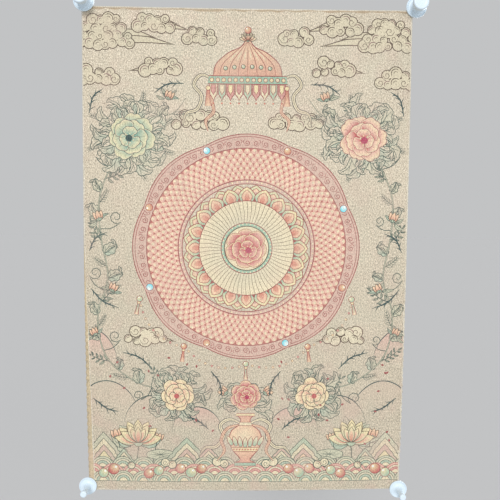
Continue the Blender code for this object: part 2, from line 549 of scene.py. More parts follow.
def canopy(pen):
    """A domed canopy with a beaded band, a valance of lappets, tassels and ribbons."""
    for half in pen.halves():
        ribbon(half, [(60, -6), (84, 4), (98, -14), (84, -34), (92, -58), (112, -66), (118, -88)], 7.5)
        ribbon(half, [(58, -10), (66, -34), (62, -62), (76, -78), (72, -98)], 6, "peach", "wine")
    rise = [(-64, 0), (-58, 24), (-36, 44), (-13, 55), (0, 70), (13, 55), (36, 44), (58, 24), (64, 0)]
    pen.cell(spline(rise, 4), LINE, "wine", "salmon", "peach", fade=(0, 62))
    for n in range(-3, 4):
        pen.line(spline([(n * 17, 0), (n * 15.5, 22), (n * 8, 44), (0, 64)], 3), FINE, "wine")
    for n in range(-3, 3):
        off = n + 0.5
        jewel(pen.at(off * 16.2, 19 - 0.5 * off * off), 4.2, "mint", "cream")
        pen.line([(off * 13, 30), (off * 10.5, 38), (off * 7, 46)], FINE * 2, "cream")
    lotus(pen.at(0, 66), 17, "mint", "cream")
    jewel(pen.at(0, 84), 6.5, "coral", "butter", "wine")
    for n in range(-4, 5):
        lappet = pen.at(n * 15.6, -11)
        shape = [(-7.5, 0), (7.5, 0), (7.5, -20), (3.6, -25), (0, -32), (-3.6, -25), (-7.5, -20)]
        outer, inner = (("sage", "cream"), ("rose", "butter"), ("cream", "rose"))[n % 3]
        lappet.cell(shape, LINE, "wine", outer)
        lappet.at(0, -2.5, 0.6).cell(shape, FINE, "wine", inner)
        lappet.fill(circle(1.9, 6, (0, -36)), "coral")
    band(pen, (71, 3), (73, -13), "mint", LINE)
    for n in range(-6, 7):
        pen.cell(circle(4.1, 10, (n * 10.9, -5)), FINE, "wine", ("butter", "cream")[n % 2])
    for half in pen.halves():
        tassel(half.at(72, -22), 30)


def vase(pen):
    """A round vase with a collar of petals and a scarf tied at its neck."""
    for half in pen.halves():
        ribbon(half, [(8, 82), (30, 90), (48, 78), (42, 56), (56, 36), (76, 34), (88, 18)], 8)
        ribbon(half, [(8, 80), (34, 72), (46, 50), (40, 28), (54, 8)], 6, "peach", "wine")
    side = [(20, 0), (17, 6), (10, 11), (24, 28), (32, 48), (27, 68), (12, 80), (10, 90), (18, 99)]
    right = spline(side, 3)
    body = np.concatenate([right, (right * (-1, 1))[::-1]])
    pen.cell(body, LINE, "wine", "cream", "peach", "salmon", centre=(-6, 54), reach=44)
    for n in range(-3, 4):
        petal = pen.at(n * 8.3, 34 + abs(n) * 1.5, 1, -n * 9)
        petal.cell(petal_shape(22, 10, 0.8, 5, 0.6), FINE, "wine", "mint", "cream", fade=(0, 16))
    band(pen, (22, 26), (27, 35), "butter")
    for n in range(-4, 5):
        pen.fill(circle(1.9, 6, (n * 5.4, 30.5)), "coral")
    band(pen, (13, 77), (11, 85), "cream")
    band(pen, (19, 96), (17, 102), "butter")
    band(pen, (22, -3), (19, 5), "mint")


def wave_band(pen, reach, low, pitch, rows):
    """Rows of round waves in pale bands, green and pink by turns, the lower rows in front."""
    green = ("leaf_line", "leaf", "haze", "moss", "cream")
    pink = ("petal_line", "shell", "haze", "rose", "cream")
    for row in range(rows - 1, -1, -1):
        line, *inks = (green, pink)[row % 2]
        count = math.ceil(reach / pitch)
        for n in range(-count, count + 1):
            wave = pen.at((n + 0.5 * (row % 2)) * pitch, low + row * pitch * 0.36)
            for share, ink in zip((0.56, 0.45, 0.34, 0.22), inks):
                wave.cell(arc(pitch * share, 0, 180, 9), FINE * 0.9, line, ink)


def peak(pen, width, height, stripes):
    """A rock in nested stripes that pale towards its foot, with knobbed shoulders."""
    share = np.linspace(0, 1, 15)
    half = width / 2 * (1 - share**1.5) * (1 + 0.13 * np.abs(np.sin(4 * math.pi * share)))
    right = np.stack([half, height * share], 1)
    edge = np.concatenate([right, (right * (-1, 1))[-2::-1]])
    for n, ink in enumerate(stripes):
        layer = pen.at(0, 0, 1 - 0.17 * n)
        layer.cell(edge, FINE, "leaf_line", ink, "ground", fade=(height, -height / 4))


def twig(pen, route, rng):
    """A dark twig with short grassy strokes on both sides."""
    stem, blades = Stem(route), 7
    pen.line(stem.points, 2.6, "teal", (0.5, 0.25))
    for n in range(blades):
        base = pen.at(*stem.at(stem.length * (0.1 + 0.8 * n / blades)))
        side = 1 if n % 2 else -1
        long = rng.uniform(7, 13)
        blade = [(0, 0), (side * long * 0.3, long * 0.45), (side * long * 0.75, long * 0.8)]
        base.line(blade, LINE, "teal", (1.0, 0.1))


# -------------------- the medallion
def scale_rings(pen, inner, outer, rows, count):
    """Overlapping feather scales in staggered rings, from the outside in."""
    pen.fill(circle(outer, 120), "scale_line")
    step = (outer - inner) / rows
    for row in range(rows - 1, -1, -1):
        r = inner + row * step - step * 0.2
        wide = math.tau * (r + step) / count * 0.97
        long = step * 1.5
        shape = petal_shape(long, wide, 0.62, 3, 0.5)
        light = petal_shape(long * 0.46, wide * 0.42, 0.7, 2, 0.3)
        for n in range(count):
            tile = pen.turned(360 * (n + 0.5 * (row % 2)) / count).at(0, r)
            tile.fill(inset(shape, 0.42), "shell", "peach", fade=(long * 0.2, long))
            tile.at(0, long * 0.38).fill(light, "cream")


def ray_ring(pen, inner, outer, count):
    """Cream rays between curved brown lines."""
    pen.cell(circle(outer, 60), LINE, "wine", "tan", "haze", "cream", centre=(0, 0), reach=outer)
    for n in range(count):
        ray = spline([(0, inner), (1.6, (inner + outer) / 2), (0.2, outer - 0.8)], 3)
        pen.turned(360 * n / count).line(ray, 0.75, "brown", (0.5, 0.9))


def petal_ring(pen, inner, outer, count, lead, rim, tip, core, heart):
    """A ring of lotus petals, each with a rim, a tip and a coloured heart."""
    long = outer - inner
    wide = math.tau * (inner + long * 0.5) / count * 1.06
    whole = petal_shape(long, wide, 0.72, 7, 0.7)
    middle = petal_shape(long * 0.76, wide * 0.62, 0.72, 6, 0.6)
    centre = petal_shape(long * 0.5, wide * 0.3, 0.72, 5, 0.5)
    for n in range(count):
        base = pen.turned(lead + 360 * n / count).at(0, inner)
        base.cell(whole, LINE * 0.9, "wine", rim, tip, fade=(long * 0.1, long * 0.85))
        base.at(0, long * 0.05).cell(middle, FINE, "wine", core, "peach", fade=(0, long * 0.7))
        base.at(0, long * 0.1).fill(centre, heart, core, fade=(0, long * 0.45))


def bead_ring(pen, radius, size, count, inks):
    """Small round beads, set out evenly."""
    for n, spot in enumerate(circle(radius, count)):
        pen.fill(circle(size, 8, spot), inks[n % len(inks)])


def curl_ring(pen, radius, size, count):
    """Small curls that roll round the rim, every other one turned over."""
    for n in range(count):
        base = pen.turned(360 * n / count).at(0, radius, 1, 0, n % 2 == 0)
        base.line(curl(1.6, size, 0.15, 8), FINE * 1.15, "wine", (0.5, 0.5))
        tail = spline([(size, 0), (size * 1.25, size * 0.5), (size * 0.7, size * 1.15)], 2)
        base.line(tail, FINE, "wine", (0.6, 0.2))


def medallion(pen, rng):
    """Eight lobes of feather scales around rings of lotus petals, rays and a blossom."""
    angle = np.arange(0, 360, 3)
    lobe_r = 192 + 7 * np.abs(np.cos(np.radians(angle * 4)))
    rim = np.stack([lobe_r * np.sin(np.radians(angle)), lobe_r * np.cos(np.radians(angle))], 1)
    pen.cell(rim, 1.6, "wine", "blush")
    pen.outline(rim * 0.975, FINE, "wine")
    curl_ring(pen, radius=183, size=5.6, count=72)
    scale_rings(pen, inner=119, outer=173, rows=7, count=84)
    pen.outline(circle(174, 120), LINE, "wine")
    pen.cell(circle(120, 90), 1.6, "wine", "blush")
    bead_ring(pen, radius=116.6, size=1.5, count=84, inks=("butter", "cream", "peach"))
    pen.cell(circle(113.2, 90), LINE, "wine", "ground")
    petal_ring(pen, 84, 112, 20, 9, "sage", "straw", "blush", "rose")
    petal_ring(pen, 80, 108, 20, 0, "mint", "butter", "salmon", "coral")
    ray_ring(pen, inner=44, outer=84, count=64)
    pen.cell(circle(45.5, 45), LINE, "wine", "mint")
    bead_ring(pen, radius=42.6, size=1.3, count=40, inks=("cream",))
    pen.cell(circle(39.6, 45), LINE, "brown", "butter", "cream", centre=(0, 0), reach=40)
    peony(pen, 38, DEEP_BLOOM, rng)
    for n in range(8):
        spot = pen.turned(360 * n / 8 + 22.5).at(0, 183)
        spot.fill(circle(9, 18), "blush")
        deep, light = (("turquoise", "white"), ("coral", "butter"))[n % 2]
        jewel(spot, 6.8, deep, light, "wine")


def garland(pen, radius):
    """Beads looped below the medallion, with a tassel at each join."""
    joins = range(-64, 65, 32)  # degrees from straight down
    for start in joins[:-1]:
        for n in range(1, 11):
            spot = polar(radius + 13 * math.sin(math.pi * n / 10.5), start + 3.2 * n - 90)
            pen.cell(circle(2.5, 6, spot), 0.7, "wine", ("cream", "butter", "rose")[n % 3])
    for turn in joins:
        join = pen.turned(turn).at(0, -radius, 1, -turn * 0.8)
        ink = ("coral", "mint")[turn % 64 == 0]
        tassel(join.at(0, -9), 21, ink)
        jewel(join, 6, ink, "butter", "wine")


def side_growth(pen, bloom, rng):
    """One side of the picture: a climbing stem with its leaves, buds and blossoms."""
    route = [
        (96, -318), (136, -262), (206, -238), (262, -188), (276, -110), (256, -40), (268, 36),
        (270, 110), (244, 176), (210, 246), (140, 262), (112, 292),
    ]
    climb = Stem(route)
    kinds = ("scroll", "frond", "scroll", "spray", "curl")
    for n in range(32):
        distance = climb.length * (n + 0.8) / 33.5
        side = 1 if n % 2 else -1
        base = pen.at(*climb.at(distance)).turned(side * rng.uniform(36, 62))
        kind, size = kinds[n % 5], rng.uniform(28, 38)
        if kind == "scroll":
            scroll_leaf(base, size, 1, ("leaf", "moss")[n % 2])
            scroll_leaf(base, size * 0.86, -1, "leaf")
        elif kind == "frond":
            frond(base, size, 6, 0.25 * side)
        elif kind == "spray":
            spray(base, [(0, 0), (side * 4, size * 0.6), (side * 12, size * 1.15)], 15, rng)
        else:
            tendril(base.halves()[side > 0], size)
    pen.line(climb.points, 2.6, "leaf_line", (0.6, 0.3))
    pen.line(climb.points, 1.0, "leaf", (0.3, 0.1))

    upper = pen.at(212, 222)
    for turn in (-150, -105, -60, 20, 70, 115, 165):
        frond(upper.turned(turn).at(0, 52), 34, 7, 0.2)
    leafage(upper, 36, 52, 25, rng)
    leafage(upper, 30, 38, 18, rng, 18)
    peony(upper, 45, bloom, rng)
    low = pen.at(128, -262)
    leafage(low, 24, 46, 20, rng)
    leafage(low, 20, 32, 12, rng, 25)
    peony(low, 34, YELLOW_BLOOM, rng)

    for x, y, size, turn in (
        (270, 66, 21, -16), (250, -66, 19, 24), (280, -150, 18, -24), (146, 288, 19, 22),
    ):
        base = pen.at(x, y, 1, turn)
        thicket(base, 4, 26, 6, rng, -90, 180)
        bud(base, size)

    water = pen.at(208, -356)
    thicket(water.at(0, -10), 10, 62, 18, rng, -80, 160)
    for foot, x, y in ((0, -6, 2), (26, 34, 8), (-30, -40, 4)):
        water.line(spline([(foot, -46), ((foot + x) / 2, -20), (x, y)], 4), LINE, "leaf_line", (1, 1))
    lily_pad(water.at(48, -20), 62)
    lily_pad(water.at(-46, -24), 54, "leaf")
    bud(water.at(36, 6, 1, -12), 22)
    bud(water.at(-42, 2, 1, 14), 18)
    lotus(water.at(-4, 0), 46)


def sky(pen, rng):
    """One side of the sky: banks of cloud with their tails."""
    cloud_tail(pen.at(250, 386, 1, 0, True), 120, 24)
    cloud_bank(pen.at(258, 388), 92, 54, rng)
    cloud_tail(pen.at(166, 412, 1, 0, True), 62, 16)
    cloud_bank(pen.at(170, 416), 58, 28, rng)
    cloud_bank(pen.at(272, 322), 56, 30, rng)
    cloud_tail(pen.at(150, 338), 68, 16)
    cloud_bank(pen.at(158, 342), 60, 28, rng)
    cloud_bank(pen.at(88, 246), 84, 26, rng)
    cloud_bank(pen.at(86, 396), 44, 26, rng)


def shore(pen, rng):
    """The foot of the picture: waves, striped rocks, jewels and foam."""
    for half in pen.halves():
        peak(half.at(270, -408), 84, 72, ("leaf", "cream", "blush", "butter"))
        peak(half.at(232, -408), 46, 40, ("sage", "cream", "blush"))
        peak(half.at(112, -408), 84, 62, ("sage", "cream", "blush", "peach"))
        peak(half.at(70, -408), 58, 44, ("blush", "cream", "leaf", "butter"))
    wave_band(pen, 300, -434, 39, 3)
    for half in pen.halves():
        for x, y, radius, deep in (
            (84, -408, 10, "ruby"), (104, -416, 11, "mint"), (124, -408, 10, "pink"),
            (166, -412, 10, "mint"), (185, -418, 10, "ruby"), (252, -410, 11, "ruby"),
            (272, -418, 10, "mint"),
        ):
            jewel(half.at(x, y), radius, deep, "butter", "wine")
        foam = (
            (40, -398, 9, 1), (54, -394, 10, -1), (140, -400, 9, 1), (153, -396, 9, -1),
            (218, -402, 8, 1),
        )
        cloud(half, foam, "cream", "leaf_line")
    bouquet = pen.at(0, -288)
    leafage(bouquet, 16, 46, 13, rng, -100, 200)
    for turn, reach in ((-52, 44), (52, 44)):
        bud(bouquet.turned(turn).at(0, reach), 20)
    peony(bouquet.at(0, 24), 30, DEEP_BLOOM, rng)
    vase(pen.at(0, -400))


def margins(pen, rng):
    """The cut and pressed edges, where the ground shows its pale or tan side."""
    for along, rim, depth, ink, reach in (
        # direction, where its rim lies, depth, ink, half its length
        ("x", 452, 5.0, "tan", 302), ("x", 452, 2.0, "edge", 302), ("x", -452, 2.4, "edge", 302),
        ("y", -300, 2.2, "edge", 455), ("y", 300, 2.4, "edge", 455),
    ):
        t = np.linspace(-reach, reach, 40)
        inner = [rim - math.copysign(depth * rng.uniform(0.6, 1.3), rim) for _ in t]
        loop = [(s, rim * 1.01) for s in t] + list(zip(t[::-1], inner[::-1]))
        if along == "y":
            loop = [(x, y) for y, x in loop]
        pen.fill(loop, ink)
    pen.fill([(-303, 60), (-300, 60), (-295, -120), (-290, -449), (-303, -449)], "strip")
    pen.line([(-298, 0), (-294, -150), (-291, -300), (-289, -448)], FINE, "edge", (0.1, 1.0))


def picture(shapes):
    """The whole printed picture, from what lies behind to what lies in front."""
    rng = random.Random(7)
    pen = Pen(shapes)
    right, left = sides = pen.halves()
    for side in sides:
        sky(side, rng)
    for side in sides:
        for x, y, width, height, fill in (
            (286, -208, 96, 70, "blush"), (262, -310, 128, 74, "ground_low"),
            (176, -322, 112, 58, "ground_low"), (92, -330, 96, 44, "blush"),
        ):
            knoll(side.at(x, y), width, height, fill)
    side_growth(right, PINK_BLOOM, rng)
    side_growth(left, GREEN_BLOOM, rng)
    canopy(pen.at(0, 330))
    shore(pen, rng)
    for side in sides:
        cloud_tail(side.at(190, -160, 1, 0, True), 60, 17)
        cloud_bank(side.at(186, -156), 66, 28, rng)
        for route in (
            [(288, -60), (266, -84), (236, -96)], [(176, -212), (200, -190), (232, -180)],
            [(288, -270), (262, -290), (240, -296)], [(66, -216), (50, -238), (44, -270)],
            [(116, 318), (146, 316), (170, 300)], [(288, 262), (280, 292), (262, 306)],
            [(290, 10), (278, 34), (256, 46)], [(70, -330), (92, -312), (112, -306)],
        ):
            twig(side, route, rng)
    garland(pen.at(0, MEDALLION_UP), 220)
    medallion(pen.at(0, MEDALLION_UP, 1.06), rng)
    fallen = petal_shape(6.5, 4, 0.8, 3)
    for _ in range(30):
        x, y = rng.uniform(60, 280) * rng.choice((-1, 1)), rng.uniform(-372, -190)
        pen.at(x, y, 1, rng.uniform(0, 360)).fill(fallen, "wine")
    margins(pen, rng)


# -------------------- from drawing to cloth
def inside(points, loops):
    """Which points lie inside the loops, by the even-odd rule."""
    odd = np.zeros(len(points), bool)
    for loop in loops:
        for (ax, ay), (bx, by) in zip(loop, np.roll(loop, -1, 0)):
            if ay == by:
                continue
            crosses = (points[:, 1] < ay) != (points[:, 1] < by)
            odd ^= crosses & (points[:, 0] < (bx - ax) * (points[:, 1] - ay) / (by - ay) + ax)
    return odd


def owners(shapes, middles):
    """The topmost shape over each triangle, or -1 on the bare ground."""
    order = np.argsort(middles[:, 1])
    heights = middles[order, 1]
    owner = np.full(len(middles), -1)
    for number, shape in enumerate(shapes):
        low = np.min([loop.min(0) for loop in shape["loops"]], 0)
        high = np.max([loop.max(0) for loop in shape["loops"]], 0)
        first, last = np.searchsorted(heights, (low[1], high[1]))
        near = order[first:last]
        near = near[(middles[near, 0] > low[0]) & (middles[near, 0] < high[0])]
        owner[near[inside(middles[near], shape["loops"])]] = number
    return owner


def cut_up(points, edges):
    """The flat triangles between points, none of which crosses an edge."""
    found = delaunay_2d_cdt([Vector(p) for p in points], edges, [], 0, JOINED, False)
    return np.array([tuple(v) for v in found[0]]), np.array(found[2])


def ink_changes(shapes, triangles, middles):
    """The edges of triangles that have one ink or fade on one side and another beyond."""
    parts = ("inks", "start", "end", "centre", "reach")
    bare = {"inks": ("ground",)}
    paints = [repr([shape.get(part) for part in parts]) for shape in (*shapes, bare)]
    paint = np.unique(paints, return_inverse=True)[1]
    seen = np.repeat(paint[owners(shapes, middles)], 3)
    sides = np.sort(triangles[:, [0, 1, 1, 2, 2, 0]].reshape(-1, 2), 1)
    order = np.lexsort((sides[:, 1], sides[:, 0]))
    sides, seen = sides[order], seen[order]
    shared = (sides[1:] == sides[:-1]).all(1)
    return sides[1:][shared & (seen[1:] != seen[:-1])]


def rectangle(half_width, half_drop, pitch):
    """A rectangle of evenly spaced points, anticlockwise from its lower left corner."""
    w, d = half_width, half_drop
    across = np.linspace(-w, w, round(2 * w / pitch) + 1)
    up = np.linspace(-d, d, round(2 * d / pitch) + 1)
    low = [(x, -d) for x in across[:-1]] + [(w, y) for y in up[:-1]]
    return np.array(low + [(-x, -y) for x, y in low])


def round_trip(first, count):
    """The edges of a closed loop of numbered points."""
    return [(first + k, first + (k + 1) % count) for k in range(count)]


def triangulated(shapes, half_width, half_drop):
    """The front of the flat cloth in triangles, with an edge wherever the printed ink changes."""
    w, d = half_width, half_drop
    border = rectangle(w, d, RIM_PITCH)
    loops = [border] + [loop for shape in shapes for loop in shape["loops"]]
    edges, first = [], 0
    for loop in loops:
        edges.extend(round_trip(first, len(loop)))
        first += len(loop)
    flat, triangles = cut_up(np.concatenate(loops), edges)
    kept = ink_changes(shapes, triangles, flat[triangles].mean(1))

    used, drawn = np.unique(kept, return_inverse=True)
    columns, rows = round(2 * w / INNER_PITCH), round(2 * d / INNER_PITCH)
    across, up = np.meshgrid(np.linspace(-w, w, columns + 1), np.linspace(-d, d, rows + 1))
    inner = np.stack([across[1:-1, 1:-1].ravel(), up[1:-1, 1:-1].ravel()], 1)
    second_row = rectangle(w - SECOND_ROW, d - SECOND_ROW, 1.5 * RIM_PITCH)
    points = np.concatenate([border, flat[used], second_row, inner])
    drawn = drawn.reshape(-1, 2) + len(border)
    flat, triangles = cut_up(points, round_trip(0, len(border)) + drawn.tolist())
    middles = flat[triangles].mean(1)
    on_cloth = (np.abs(middles[:, 0]) < w) & (np.abs(middles[:, 1]) < d)
    return flat, triangles[on_cloth]


def corner_inks(shapes, owner, flat, triangles):
    """The colour at each triangle's corners, with how much print covers the cloth as alpha."""
    colours = np.empty((len(triangles), 3, 4))
    colours[...] = (*linear("ground"), 0)
    order = np.argsort(owner, kind="stable")
    bounds = np.searchsorted(owner[order], np.arange(len(shapes) + 1))
    for number, shape in enumerate(shapes):
        mine = order[bounds[number] : bounds[number + 1]]
        if not len(mine):
            continue
        stops = np.array([linear(name) for name in shape["inks"]])
        place = flat[triangles[mine]]
        if "centre" in shape:
            share = np.linalg.norm(place - shape["centre"], axis=2) / shape["reach"]
        elif "start" in shape:
            way = shape["end"] - shape["start"]
            share = (place - shape["start"]) @ way / (way @ way)
        else:
            share = np.zeros(place.shape[:2])
        at = np.linspace(0, 1, len(stops))
        for channel in range(3):
            colours[mine, :, channel] = np.interp(share, at, stops[:, channel])
        cover = [0.0 if name == "ground" else 1.0 for name in shape["inks"]]
        colours[mine, :, 3] = np.interp(share, at, cover)
    return colours


# -------------------- how the cloth hangs
def ease(value, low=0, high=1):
    """0 below low, 1 above high, and an even ease between."""
    t = np.clip((value - low) / (high - low), 0, 1)
    return t * t * (3 - 2 * t)


def hung(flat, depth):
    """Where points of the flat cloth hang, with depth in front of the back of its hem."""
    across = flat[:, 0] * MM / (WIDTH / 2)
    down = 0.5 - flat[:, 1] * MM / DROP
    side_bow = np.sin(math.pi * np.clip(down, 0, 1) ** 1.25)
    edge_bow = 1 - across * across
    x = across * WIDTH / 2
    x = x - LEFT_BOW * side_bow * ease(-across) + RIGHT_BOW * side_bow * ease(across)
    z = -down * DROP + TOP_SAG * (1 - edge_bow) * (1 - down) - BOTTOM_BOW * edge_bow * down

    free = np.ones(len(flat))
    pucker = np.zeros(len(flat))
    for hold_x, hold_z, _ in HOLDERS.values():
        reach = np.hypot(x - hold_x, z - hold_z)
        around = np.arctan2(z - hold_z, x - hold_x)
        free *= ease(reach, FLAT_REACH, FREE_REACH)
        ring = ease(reach, *PUCKER_START) * (1 - ease(reach, *PUCKER_END))
        pucker += PUCKER * ring * (0.5 + 0.5 * np.cos(PUCKER_COUNT * around + 0.7))

    swell = BILLOW * np.sin(math.pi * np.clip(down, 0, 1) ** 0.9) * (1 - 0.55 * across**2)
    swell += BOTTOM_LIFT * ease(down * 4 - 3)
    hang = ease(down * 5) * (1 - 0.4 * down)
    for middle, drift, height, half_width in FOLDS:
        off = (across - middle - drift * down) * WIDTH / 2 / (half_width * MM)
        swell += height * MM * hang * np.exp(-off * off)

    low = ease(down, *RIPPLE_START) * (1 - ease(down, *RIPPLE_END))
    near_edge = ease(np.abs(across), RIPPLE_REACH, 1)
    wave = np.sin(math.tau * down * DROP / RIPPLE_PITCH + 2.1 * np.sin(17 * down) + 3 * across)
    ripple = EDGE_RIPPLE * low * near_edge * wave
    x = x + np.sign(across) * ripple * 0.5
    y = -(np.maximum(swell, 0) * free + pucker + np.abs(ripple) + ripple + depth)
    return np.stack([x, y, z], 1)


def rim_edges(triangles):
    """The edges that only one triangle uses, in that triangle's direction."""
    edges = triangles[:, [0, 1, 1, 2, 2, 0]].reshape(-1, 2)
    key = np.sort(edges, 1)
    _, first, uses = np.unique(key, axis=0, return_index=True, return_counts=True)
    return edges[first[uses == 1]]


def back_of(rim_points, rim, half_width, half_drop):
    """The back of the cloth, on the same rim, with the step of the turned hem."""
    points = list(rim_points)
    edges = rim.tolist()
    for inner in (HEM, HEM + HEM_STEP):
        loop = rectangle(half_width - inner, half_drop - inner, BACK_PITCH)
        edges.extend(round_trip(len(points), len(loop)))
        points.extend(loop)
    w, d = half_width - HEM - BACK_GAP, half_drop - HEM - BACK_GAP
    across, up = np.linspace(-w, w, BACK_COLUMNS), np.linspace(-d, d, BACK_ROWS)
    points.extend((x, y) for x in across for y in up)
    return cut_up(points, edges)


def make_cloth(finish):
    """The printed cloth as one closed mesh: its front, its back and the narrow wall between."""
    shapes = []
    picture(shapes)
    half_width, half_drop = WIDTH / MM / 2, DROP / MM / 2
    flat, front = triangulated(shapes, half_width, half_drop)
    colours = corner_inks(shapes, owners(shapes, flat[front].mean(1)), flat, front)

    used, front = np.unique(front, return_inverse=True)
    flat, front = flat[used], front.reshape(-1, 3)
    rim = rim_edges(front)
    rim_used, rim_local = np.unique(rim, return_inverse=True)
    back_flat, back = back_of(flat[rim_used], rim_local.reshape(-1, 2), half_width, half_drop)
    half_size = np.array([half_width, half_drop])
    back_rim_gap = (half_size - np.abs(back_flat)).min(1)
    field = back_rim_gap > HEM + HEM_STEP / 2  # the single cloth inside the hem
    recess = (THICK - FIELD_THICK) * field

    places = np.concatenate([hung(flat, THICK), hung(back_flat, recess)])
    back_rim = rim_local.reshape(-1, 2) + len(flat)
    upper = np.stack([rim[:, 1], rim[:, 0], back_rim[:, 0]], 1)
    lower = np.stack([rim[:, 1], back_rim[:, 0], back_rim[:, 1]], 1)
    walls = np.concatenate([upper, lower])
    faces = np.concatenate([front, back[:, ::-1] + len(flat), walls])
    rest = np.empty((len(faces) - len(front), 3, 4))
    rest[...] = (*linear("back"), 0)
    rest[: len(back)][~field[back].all(1)] = (*linear("ground"), 0)
    rest[len(back) :] = (*linear("edge"), 1)

    mesh = bpy.data.meshes.new("thangka_cloth")
    mesh.from_pydata(places.tolist(), [], faces.tolist())
    ink = mesh.color_attributes.new("ink", "FLOAT_COLOR", "CORNER")
    ink.data.foreach_set("color", np.concatenate([colours, rest]).astype(np.float32).ravel())
    rim_gap = np.concatenate([(half_size - np.abs(flat)).min(1), back_rim_gap])
    behind = np.repeat([0.0, 1.0], [len(flat), len(back_flat)])
    for name, values in (("rim_gap", rim_gap), ("behind", behind)):
        stored = mesh.attributes.new(name, "FLOAT", "POINT")
        stored.data.foreach_set("value", values.astype(np.float32))
    mesh.shade_smooth()
    mesh.materials.append(finish)
    cloth = bpy.data.objects.new("thangka_cloth", mesh)
    bpy.context.collection.objects.link(cloth)
    return cloth


# -------------------- finishes
class Value:
    """A number that follows the surface. Arithmetic on it adds Math nodes."""

    def __init__(self, finish, socket):
        self.finish = finish
        self.socket = socket

    def math(self, operation, *others):
        inputs = dict(enumerate((self, *others)))
        return self.finish.node("Math", {"operation": operation}, inputs)["Value"]

    def __add__(self, other):
        return self.math("ADD", other)

    def __sub__(self, other):
        return self.math("SUBTRACT", other)

    def __mul__(self, other):
        return self.math("MULTIPLY", other)

    def __rsub__(self, other):
        return self * -1 + other

    __radd__ = __add__
    __rmul__ = __mul__

    def sine(self):
        return self.math("SINE")

    def step(self, low, high):
        """0 below low, 1 above high, with an even ease between."""
        settings = {"interpolation_type": "SMOOTHSTEP"}
        inputs = {"Value": self, "From Min": low, "From Max": high}
        return self.finish.node("MapRange", settings, inputs)["Result"]


class Finish:
    """One material and its nodes."""

    def __init__(self, name, constants):
        self.material = bpy.data.materials.new(name)
        self.material.use_nodes = True
        self.tree = self.material.node_tree
        self.shader = self.tree.nodes["Principled BSDF"]
        for socket, value in constants.items():
            self.shader.inputs[socket].default_value = value

    def node(self, kind, settings, inputs):
        """Any node, as a table of its outputs."""
        made = self.tree.nodes.new("ShaderNode" + kind)
        for name, value in settings.items():
            setattr(made, name, value)
        for key, value in inputs.items():
            if isinstance(key, int):
                socket = made.inputs[key]
            else:
                socket = next(s for s in made.inputs if s.name == key and s.enabled)
            if isinstance(value, Value):
                self.tree.links.new(value.socket, socket)
            else:
                socket.default_value = value
        return {out.name: Value(self, out) for out in made.outputs if out.enabled}

    def place(self):
        """Object coordinates in millimetres, as three values."""
        here = self.node("TexCoord", {}, {})["Object"]
        parts = self.node("SeparateXYZ", {}, {"Vector": here})
        return [parts[axis] * 1000 for axis in "XYZ"]

    def along(self, name):
        """A number that is stored on the mesh."""
        return self.node("Attribute", {"attribute_name": name}, {})["Fac"]

    def noise(self, x, y, z, detail, roughness=0.5):
        """Even noise about 0.5, one cell to each unit of x, y and z."""
        vector = self.node("CombineXYZ", {}, {"X": x, "Y": y, "Z": z})["Vector"]
        inputs = {"Vector": vector, "Scale": 1.0, "Detail": detail, "Roughness": roughness}
        return self.node("TexNoise", {}, inputs)["Fac"]

    def mix(self, share, low, high, blend="MIX"):
        settings = {"data_type": "RGBA", "blend_type": blend}
        return self.node("Mix", settings, {"Factor": share, "A": low, "B": high})["Result"]

    def bump(self, height, strength, distance):
        inputs = {"Height": height, "Strength": strength, "Distance": distance}
        return self.node("Bump", {}, inputs)["Normal"]

    def drive(self, socket, value):
        self.tree.links.new(value.socket, self.shader.inputs[socket])


# colours that the finishes mix in, as scene-linear red, green, blue and alpha
DARK_YARN = (0.28, 0.24, 0.16, 1)
# the lighter colour of the gold thread's glints: a painted highlight
PAINTED_GLINT = (0.93, 0.86, 0.72, 1)
GREEN_DRIFT = (0.52, 0.55, 0.42, 1)
PINK_DRIFT = (0.66, 0.45, 0.38, 1)
SOIL = (0.34, 0.27, 0.18, 1)
SHOW_THROUGH = (0.46, 0.25, 0.19, 1)
STITCHING = (0.36, 0.24, 0.13, 1)
PLASTIC = (0.74, 0.86, 0.95, 1)
CLOUDED_PLASTIC = (0.62, 0.73, 0.83, 1)

WARP_PITCH = 0.9  # mm
WEFT_PITCH = 0.7
STITCH_PITCH = 11
STITCH_ROW = (10.2, 10.5, 11.4, 11.7)  # in from the rim: its two sides, each a soft step
SHOWN_RIM = (206, 213)  # the soft rim of the medallion that shows through to the back
SHOWN_HEART = (86, 90)  # and of its paler heart


